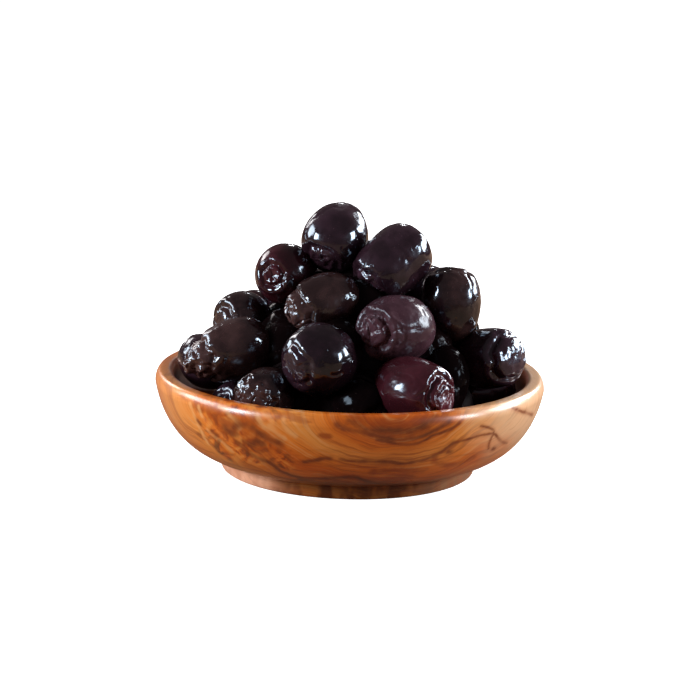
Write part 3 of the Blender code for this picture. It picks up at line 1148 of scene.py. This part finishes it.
@dataclass
class OliveShape:
    """The sizes of an olive's surface, as shares of its radius at each point. Angles are in radians."""

    crease_angle: float = radians(36)
    crease_width: float = radians(6)
    crease_depth: float = 0.058
    cap_sink: float = 0.022
    cap_flatness: float = 0.055
    rim_height: float = 0.028
    fold_depth: float = 0.050
    band_depth: float = 0.018
    shrivel_depth: float = 0.030
    dent_depth: float = 0.030
    lump: float = 0.060
    ripple: float = 0.020
    seed: float = 4.0

    def sizes(self) -> dict[str, float]:
        """Each size under its input's name, such as "Crease angle"."""
        return {size.name.replace("_", " ").capitalize(): getattr(self, size.name) for size in fields(self)}


class OliveTree(Graph):
    """A Geometry Nodes tree: olives set on points, realized, and then drawn in, wrinkled and rippled."""

    def __init__(self, shape: OliveShape) -> None:
        """Builds the tree, with named inputs for its sizes.

        Args:
            shape: the sizes.
        """
        inputs = {"Points": "Geometry", "Segments": "Int", "Rings": "Int"}
        inputs |= dict.fromkeys(shape.sizes(), "Float") | {"Skin": "Material"}
        super().__init__(new_group("olive_shape", "GeometryNodeTree", inputs, {"Olives": "Geometry"}))
        self.given = self.node("NodeGroupInput").outputs
        self.own = self.total(self.attribute("seed"), self.given["Seed"])
        self.unit = self.attribute("unit", "FLOAT_VECTOR")
        self.swayed = self.vector("ADD", self.unit, self.swing(self.unit, 1.7, 1.0, 0.9, self.own))
        x, y, z = self.axes(self.unit)
        self.angle = self.math("ARCCOSINE", z)
        self.folds = self.attribute("folds")
        self.wrinkled = self.math("MINIMUM", self.folds, 1.0)
        side = self.vector("NORMALIZE", self.joined(x, y, 0.0))
        wander = self.total(1.0, self.signed(self.own_noise(side, 1.1, 1.0), 0.42))
        self.crease_at = self.product(self.given["Crease angle"], wander, self.attribute("cap_size"))
        width = self.given["Crease width"]
        inside = self.math("SUBTRACT", self.crease_at, self.product(width, 0.6))
        self.cap = self.step(self.angle, self.total(self.crease_at, width), inside)
        smooth = self.node("GeometryNodeSetShadeSmooth", {"Geometry": self.shaped()}).outputs[0]
        realized = self.node("GeometryNodeRealizeInstances", {"Geometry": smooth}).outputs[0]
        dressed = self.node("GeometryNodeSetMaterial", {"Geometry": realized, "Material": self.given["Skin"]})
        self.node("NodeGroupOutput", {0: dressed.outputs[0]})

    def place(self) -> Socket:
        """The point's position."""
        return self.node("GeometryNodeInputPosition").outputs[0]

    def attribute(self, name: str, data_type: str = "FLOAT") -> Socket:
        """Reads a named attribute."""
        return self.node("GeometryNodeInputNamedAttribute", {"Name": name}, data_type=data_type).outputs[0]

    def stored(self, geometry: Value, name: str, value: Value, data_type: str = "FLOAT_VECTOR") -> Socket:
        """Stores a named attribute on points.

        Args:
            geometry: what it is stored on.
            name: the attribute's name.
            value: its value.
            data_type: its type.

        Returns:
            The geometry.
        """
        inputs = {"Geometry": geometry, "Name": name, "Value": value}
        settings = {"data_type": data_type, "domain": "POINT"}
        return self.node("GeometryNodeStoreNamedAttribute", inputs, **settings).outputs[0]

    def own_noise(self, vector: Value, scale: float, detail: float, shift: float = 0.0) -> Socket:
        """A noise value that differs from olive to olive. Each shift gives another pattern."""
        return self.noise(vector, scale, detail, self.total(self.own, shift) if shift else self.own)

    def ball(self) -> Socket:
        """A ball of radius 1 with its rings drawn together at the stem end, which is its +Z.

        Returns:
            The ball, with its own coordinates stored as "unit".
        """
        inputs = {"Segments": self.given["Segments"], "Rings": self.given["Rings"], "Radius": 1.0}
        sphere = self.node("GeometryNodeMeshUVSphere", inputs).outputs["Mesh"]
        x, y, z = self.axes(self.place())
        down = self.math("DIVIDE", self.math("ARCCOSINE", z), pi)
        angle = self.product(self.math("POWER", down, 1.3), pi)
        flat = self.scaled(self.vector("NORMALIZE", self.joined(x, y, 0.0)), self.math("SINE", angle))
        moved = self.vector("ADD", flat, self.joined(0.0, 0.0, self.math("COSINE", angle)))
        drawn = self.node("GeometryNodeSetPosition", {"Geometry": sphere, "Position": moved}).outputs[0]
        return self.stored(drawn, "unit", self.place())

    def placed(self) -> Socket:
        """Sets a ball on each point, turned to its stem and stretched to its size.

        Returns:
            The realized balls.
        """
        points = self.stored(self.given["Points"], "centre", self.place())
        stem = self.attribute("stem", "FLOAT_VECTOR")
        aligned = self.node("FunctionNodeAlignRotationToVector", {"Vector": stem}, axis="Z").outputs[0]
        roll = {"Axis": (0.0, 0.0, 1.0), "Angle": self.attribute("seed")}
        turns = {0: aligned, 1: self.node("FunctionNodeAxisAngleToRotation", roll).outputs[0]}
        inputs = {
            "Points": points,
            "Instance": self.ball(),
            "Rotation": self.node("FunctionNodeRotateRotation", turns, rotation_space="LOCAL").outputs[0],
            "Scale": self.attribute("half", "FLOAT_VECTOR"),
        }
        instances = self.node("GeometryNodeInstanceOnPoints", inputs).outputs[0]
        return self.node("GeometryNodeRealizeInstances", {"Geometry": instances}).outputs[0]

    def shaped(self) -> Socket:
        """Moves each point of the balls in or out along its own radius.

        Returns:
            The shaped olives.
        """
        reach = self.total(1.0, self.product(self.stem_end(), self.attribute("pucker")), self.body())
        double = self.math("SINE", self.product(self.angle, 2.0))
        squared = self.total(1.0, self.product(double, double, self.attribute("block"), 0.11))
        across = self.math("SINE", self.angle)
        slimmer = self.product(self.math("COSINE", self.angle), across, across, self.attribute("taper"), -1.0)
        reach = self.product(reach, squared, self.total(1.0, slimmer))
        centre = self.attribute("centre", "FLOAT_VECTOR")
        moved = self.vector("ADD", centre, self.scaled(self.vector("SUBTRACT", self.place(), centre), reach))
        inputs = {"Geometry": self.placed(), "Position": moved}
        shaped = self.node("GeometryNodeSetPosition", inputs).outputs[0]
        return self.stored(shaped, "cap", self.product(self.cap, self.wrinkled), "FLOAT")

    def stem_end(self) -> Socket:
        """The puckered stem end: a crease round a flattened cap with a raised rim and folds.

        Returns:
            How far the point moves, as a share of its radius.
        """
        width, at = self.given["Crease width"], self.crease_at
        crease = self.product(self.bell(self.angle, at, width), self.given["Crease depth"], -1.0)
        shoulder = self.product(self.bell(self.angle, self.total(at, self.product(width, 2.2)), width), 0.012)
        middle = self.math("SUBTRACT", 1.0, self.math("DIVIDE", self.angle, at))
        hollow = self.product(self.math("MAXIMUM", middle, 0.0), self.given["Cap flatness"])
        sink = self.product(self.total(self.product(self.cap, self.given["Cap sink"]), hollow), -1.0)
        uneven = self.step(self.own_noise(self.swayed, 2.0, 1.0), 0.30, 0.62)
        rim = self.bell(self.angle, self.product(at, 0.74), self.product(width, 0.9))
        rim = self.product(rim, uneven, self.given["Rim height"])
        fine = self.scaled(self.swayed, self.total(0.70, self.product(self.wrinkled, 0.32)))
        creases = self.product(self.furrow(self.own_noise(fine, 1.8, 0.0), 0.06), -0.7)
        inputs = {"Vector": fine, "W": self.own, "Scale": 3.2, "Smoothness": 0.4}
        kind = {"voronoi_dimensions": "4D", "feature": "SMOOTH_F1"}
        cells = self.node("ShaderNodeTexVoronoi", inputs, **kind).outputs["Distance"]
        pads = self.product(self.math("SUBTRACT", 0.42, cells), 1.5)
        wrinkles = self.total(creases, self.total(pads, self.signed(self.own_noise(fine, 3.0, 0.0), 0.7)))
        folds = self.product(wrinkles, self.cap, self.product(self.given["Fold depth"], self.folds))
        return self.total(crease, shoulder, sink, rim, folds)

    def body(self) -> Socket:
        """The body's uneven form: lumps, dents, ripples, wrinkles across it and a small tip.

        Returns:
            How far the point moves, as a share of its radius.
        """
        lumps = self.total(self.signed(self.own_noise(self.unit, 1.1, 1.0), self.given["Lump"]), -0.010)
        uneven = self.total(0.22, self.product(self.folds, 0.85))
        ripples = self.signed(self.own_noise(self.swayed, 3.3, 2.0), self.given["Ripple"])
        drawn_out = self.vector("MULTIPLY", self.swayed, (0.9, 0.9, 3.8))
        bands = self.own_noise(drawn_out, 1.7, 2.0, 2.0)
        near = self.bell(self.angle, self.total(self.crease_at, 0.26), 0.20)
        calmer = self.total(0.30, self.product(self.wrinkled, 0.70))
        banded = self.product(self.signed(bands, 1.6), near, self.given["Band depth"])
        banded = self.product(banded, self.attribute("pucker"), calmer)
        wrinkles = self.total(self.product(self.furrow(bands, 0.05), -0.6), self.signed(bands, 0.9))
        patch = self.step(self.own_noise(self.unit, 1.3, 1.0, 9.0), 0.44, 0.60)
        shrivelled = self.product(wrinkles, patch, self.given["Shrivel depth"], self.attribute("shrivel"))
        groove = self.furrow(self.own_noise(self.swayed, 0.8, 0.0, 5.0), 0.022)
        dent_patch = self.step(self.own_noise(self.unit, 1.2, 1.0, 7.0), 0.50, 0.60)
        dents = self.product(groove, dent_patch, self.given["Dent depth"], -1.0)
        off_cap = self.product(self.total(banded, shrivelled, dents), self.math("SUBTRACT", 1.0, self.cap))
        tip = self.product(self.bell(self.angle, pi, 0.16), 0.030)
        return self.total(lumps, self.product(ripples, uneven), off_cap, tip)


@dataclass
class OliveHeap:
    """The loose olives, one piece for each kind, over a dark core. Details are segments and rings."""

    plan: HeapPlan
    shape: OliveShape = field(default_factory=OliveShape)
    front_detail: tuple[int, int] = (136, 88)
    around_detail: tuple[int, int] = (88, 56)
    inner_detail: tuple[int, int] = (48, 32)
    skins: tuple[SkinFinish, ...] = (
        SkinFinish(Kind.BLACK, (0.0075, 0.0028, 0.0045), (0.047, 0.020, 0.032)),
        SkinFinish(Kind.PLUM, (0.020, 0.0085, 0.0125), (0.086, 0.037, 0.050), 0.20, 0.24, 0.10),
        SkinFinish(Kind.WINE, (0.020, 0.0035, 0.0055), (0.088, 0.0165, 0.026), 0.11, 0.62, 0.15),
        SkinFinish(Kind.BROWN, (0.0108, 0.0041, 0.0038), (0.068, 0.031, 0.029)),
        # A near-black skin with little gloss: painted shade for olives in the gaps and inside the heap.
        SkinFinish(Kind.SHADED, (0.0030, 0.0014, 0.0016), (0.0070, 0.0032, 0.0036), 0.14, 0.06, 0.0),
    )
    core_profile: tuple[Point, ...] = (
        (0.0, 8.2),
        (34.0, 9.0),
        (40.0, 16.0),
        (38.0, 25.0),
        (27.0, 42.0),
        (9.0, 60.0),
        (0.0, 63.0),
    )
    core_segments: int = 72

    @staticmethod
    def points(name: str, olives: Sequence[Olive]) -> bpy.types.Object:
        """A vertex for each olive, which carries the olive's size and looks.

        Args:
            name: the object's name.
            olives: the olives.

        Returns:
            The object, with no faces.
        """
        mesh = bpy.data.meshes.new(name)
        mesh.from_pydata([one.centre * MM for one in olives], [], [])
        halves = [Vector((one.thickness * one.flat, one.thickness, one.length)) * 0.5 * MM for one in olives]
        for key, values in (("stem", [one.stem for one in olives]), ("half", halves)):
            layer = mesh.attributes.new(key, "FLOAT_VECTOR", "POINT")
            layer.data.foreach_set("vector", [number for value in values for number in value])
        for key in ("seed", "pucker", "cap_size", "folds", "shrivel", "block", "taper", "tone"):
            layer = mesh.attributes.new(key, "FLOAT", "POINT")
            layer.data.foreach_set("value", [float(getattr(one, key)) for one in olives])
        return new_piece(name, mesh)

    def grown(
        self,
        name: str,
        olives: Sequence[Olive],
        detail: tuple[int, int],
        tree: bpy.types.NodeTree,
        skin: bpy.types.Material,
    ) -> bpy.types.Object:
        """Grows olives on their points and turns them into a plain mesh.

        Args:
            name: the piece's name.
            olives: its olives.
            detail: how many segments and rings each olive has.
            tree: the tree that shapes them.
            skin: their material.

        Returns:
            The finished piece.
        """
        source = self.points(f"{name}_points", olives)
        modifier = source.modifiers.new("grow", "NODES")
        modifier.node_group = tree
        sockets = {item.name: item.identifier for item in tree.interface.items_tree if item.in_out == "INPUT"}
        values = {"Segments": detail[0], "Rings": detail[1], "Skin": skin} | self.shape.sizes()
        for size, value in values.items():
            modifier[sockets[size]] = value
        mesh = bpy.data.meshes.new_from_object(source.evaluated_get(bpy.context.evaluated_depsgraph_get()))
        source.modifiers.remove(modifier)
        bpy.data.objects.remove(source)
        mesh.name = name
        return fastened(name, mesh, "olives")

    def core(self) -> bpy.types.Object:
        """The dark core that stands for the olives too deep to see, near-black and matte as painted shade.

        Returns:
            The finished piece.
        """
        mesh = turned("heap_core", self.core_profile, self.core_segments)
        made, graph, shader = new_material("heap_core", {"Roughness": 0.60, "Specular IOR Level": 0.05})
        # Near-black, as painted shade between the olives.
        shade = graph.noise(graph.place(), 90.0, 3.0)
        graph.fill(shader, {"Base Color": graph.mix(shade, (0.004, 0.002, 0.003), (0.012, 0.006, 0.006))})
        mesh.materials.append(made)
        return fastened("heap_core", mesh, "olives")

    def build(self) -> list[bpy.types.Object]:
        """Builds the heap.

        Returns:
            Its pieces.
        """
        tree = OliveTree(self.shape).tree
        pattern = skin_pattern()
        front, around, inner = self.plan.lay()
        pieces = [self.core()]
        groups = (
            ("front", front, self.front_detail),
            ("around", around, self.around_detail),
            ("inside", inner, self.inner_detail),
        )
        for finish in self.skins:
            skin = finish.material(pattern)
            for place, olives, detail in groups:
                name = f"olives_{finish.kind.value}_{place}_a"
                chosen = [one for one in olives if one.kind is finish.kind]
                if chosen:
                    pieces.append(self.grown(name, chosen, detail, tree, skin))
        bpy.data.node_groups.remove(tree)
        return pieces


@dataclass(frozen=True)
class Softbox:
    """A square light.

    azimuth is the way to it from the dish in degrees, from the front towards +X, and elevation its height in
    degrees. Its distance, width and height are in metres.
    """

    name: str
    azimuth: float
    elevation: float
    distance: float
    width: float
    height: float
    power: float
    colour: Colour = (1.0, 1.0, 1.0)

    def build(self, aim: Vector) -> bpy.types.Object:
        """Hangs the light.

        Args:
            aim: the point that it shines at.

        Returns:
            The light.
        """
        data = bpy.data.lights.new(self.name, "AREA")
        data.shape = "RECTANGLE"
        data.size, data.size_y = self.width, self.height
        data.energy = self.power
        data.color = self.colour
        light = new_piece(self.name, data)
        around, up = radians(self.azimuth), radians(self.elevation)
        way = Vector((sin(around) * cos(up), -cos(around) * cos(up), sin(up)))
        light.location = aim + way * self.distance
        light.rotation_mode = "QUATERNION"
        light.rotation_quaternion = way.to_track_quat("Z", "Y")
        return light


@dataclass
class Studio:
    """The camera, the lights, the surround and the floor, in metres, with places in the photograph."""

    target: Vector = field(default_factory=lambda: Vector((0.0, 0.0, 25.0)) * MM)
    lights_aim: Vector = field(default_factory=lambda: Vector((0.0, 0.0, 40.0)) * MM)
    distance: float = 0.700
    elevation: float = radians(13.15)
    roll: float = radians(1.65)
    pixels_per_metre: float = 3233.0
    target_pixel: Point = (349.6, 387.0)
    picture: float = 700.0
    sensor: float = 36.0
    floor_size: float = 6.0
    lights: tuple[Softbox, ...] = (
        Softbox("left_key", -66, 16, 0.9, 0.20, 0.26, 6.4, (0.90, 0.96, 1.0)),
        Softbox("left_side", -100, 20, 1.0, 0.48, 0.36, 6.2, (0.93, 0.97, 1.0)),
        Softbox("left_rim", -142, 22, 1.0, 0.30, 0.26, 1.6, (1.0, 0.93, 0.90)),
        Softbox("right_pane_front", 72, 16, 1.0, 0.18, 0.30, 4.6, (0.90, 0.96, 1.0)),
        Softbox("right_pane_back", 104, 17, 1.0, 0.30, 0.34, 7.8, (0.92, 0.97, 1.0)),
        Softbox("right_rim", 132, 22, 1.0, 0.42, 0.32, 9.0, (0.96, 0.98, 1.0)),
        Softbox("back_strip", 177, 28, 1.0, 0.07, 0.025, 0.3),
    )

    def camera(self) -> bpy.types.Object:
        """Sets the camera at the photograph's viewing angle.

        Returns:
            The camera.
        """
        back = Vector((0.0, -cos(self.elevation), sin(self.elevation)))
        level_right = Vector((1.0, 0.0, 0.0))
        level_up = back.cross(level_right)
        right = level_right * cos(self.roll) + level_up * sin(self.roll)
        up = level_up * cos(self.roll) - level_right * sin(self.roll)
        offset = Vector([0.5 * self.picture - pixel for pixel in self.target_pixel])
        aim = self.target + (right * offset.x - up * offset.y) / self.pixels_per_metre
        position = self.target + back * self.distance
        data = bpy.data.cameras.new("camera")
        data.sensor_width = self.sensor
        data.lens = self.pixels_per_metre * self.distance * self.sensor / self.picture
        data.clip_start, data.clip_end = 0.05, 20.0
        made = new_piece("camera", data)
        look = (position - aim).normalized()
        side = up.cross(look).normalized()
        turn = Matrix((side, look.cross(side), look)).transposed().to_4x4()
        made.matrix_world = Matrix.Translation(position) @ turn
        bpy.context.scene.camera = made
        return made

    @staticmethod
    def surround() -> None:
        """White where the camera sees it, and a dim soft room in reflections."""
        world = bpy.data.worlds.new("surround")
        world.use_nodes = True
        bpy.context.scene.world = world
        world.node_tree.nodes.clear()
        graph = Graph(world.node_tree)
        seen = graph.node("ShaderNodeBackground", {"Color": (1.0, 1.0, 1.0, 1.0), "Strength": 1.0})
        room = graph.node("ShaderNodeBackground", {"Color": (1.0, 0.76, 0.76, 1.0), "Strength": 0.11})
        camera_ray = graph.node("ShaderNodeLightPath").outputs["Is Camera Ray"]
        mixed = graph.node("ShaderNodeMixShader", {0: camera_ray, 1: room.outputs[0], 2: seen.outputs[0]})
        graph.node("ShaderNodeOutputWorld", {"Surface": mixed.outputs[0]})

    def floor(self) -> bpy.types.Object:
        """A plain pale floor, which throws little light back on the dish.

        Returns:
            The floor.
        """
        half = 0.5 * self.floor_size
        mesh = bpy.data.meshes.new("floor")
        corners = [(-half, -half, 0), (half, -half, 0), (half, half, 0), (-half, half, 0)]
        mesh.from_pydata(corners, [], [(0, 1, 2, 3)])
        constants = {"Roughness": 0.9, "Specular IOR Level": 0.0, "Emission Color": (1.0, 1.0, 1.0, 1.0)}
        made, graph, shader = new_material("pale_floor", constants)
        camera_ray = graph.node("ShaderNodeLightPath").outputs["Is Camera Ray"]
        colour = graph.mix(camera_ray, (0.24, 0.15, 0.10), (0.93, 0.93, 0.93))
        graph.fill(shader, {"Base Color": colour, "Emission Strength": graph.product(camera_ray, 0.97)})
        mesh.materials.append(made)
        piece = new_piece("floor", mesh)
        return piece

    def build(self) -> None:
        """Sets up the camera, the lights, the surround and the floor."""
        bpy.context.scene.view_settings.view_transform = "Standard"
        self.camera()
        for softbox in self.lights:
            softbox.build(self.lights_aim)
        self.surround()
        self.floor()
        log.info("studio: %d lights", len(self.lights))


def main() -> None:
    """Builds the studio, the dish and the heap in order."""
    logging.basicConfig(level=logging.INFO, format="%(name)s: %(message)s")
    Studio().build()
    dish = TurnedDish()
    dish.build()
    OliveHeap(HeapPlan(dish)).build()


if __name__ == "__main__":
    main()
